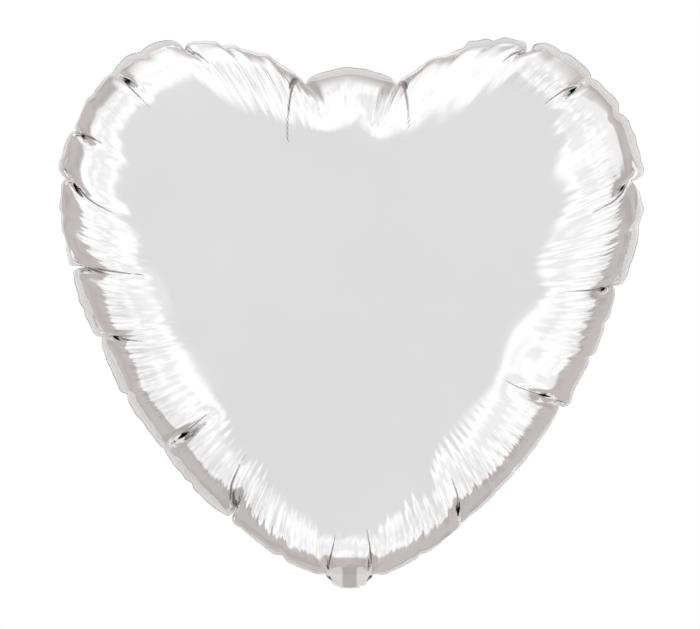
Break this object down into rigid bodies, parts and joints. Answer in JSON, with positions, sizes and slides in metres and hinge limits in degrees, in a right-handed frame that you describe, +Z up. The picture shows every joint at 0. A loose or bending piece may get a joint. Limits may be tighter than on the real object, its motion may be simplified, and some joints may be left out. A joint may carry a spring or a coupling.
{
  "type": "heart-shaped foil balloon",
  "caption": "Inflated heart-shaped foil balloon with a welded edge, an inner one-way valve and a folding filling tail.",
  "frame": {"origin": "the ribbon's tie point, on the fold line between the neck and the tail, at the heart's lowest point", "axes": "+X to the heart's right as seen from the front, +Y from the front panel to the rear panel, +Z up to the lobes"},
  "size_m": [0.3702, 0.1896, 0.3494],
  "materials": {
    "foil": "bright metallised film",
    "welded_foil": "metallised film dulled by the welding bar",
    "tail_foil": "bright metallised film",
    "valve_film": "milky polyethylene film"
  },
  "bodies": {
    "balloon": {"front_panel": "foil", "rear_panel": "foil", "seam_flange": "welded_foil", "valve_front_film": "valve_film"},
    "valve_flap": {"valve_rear_film": "valve_film"},
    "tail": {"tail_front_film": "tail_foil", "tail_rear_film": "tail_foil"}
  },
  "joints": [
    {"name": "tail_fold", "type": "hinge", "parent": "balloon", "child": "tail", "pos_m": [0, 0, 0], "axis": [-1, 0, 0], "range_deg": [0, 175]},
    {"name": "valve_opening", "type": "hinge", "parent": "balloon", "child": "valve_flap", "pos_m": [0, 0.0003, 0.017], "axis": [-1, 0, 0], "range_deg": [0, 5], "stiffness_Nm_per_rad": 0.002}
  ]
}
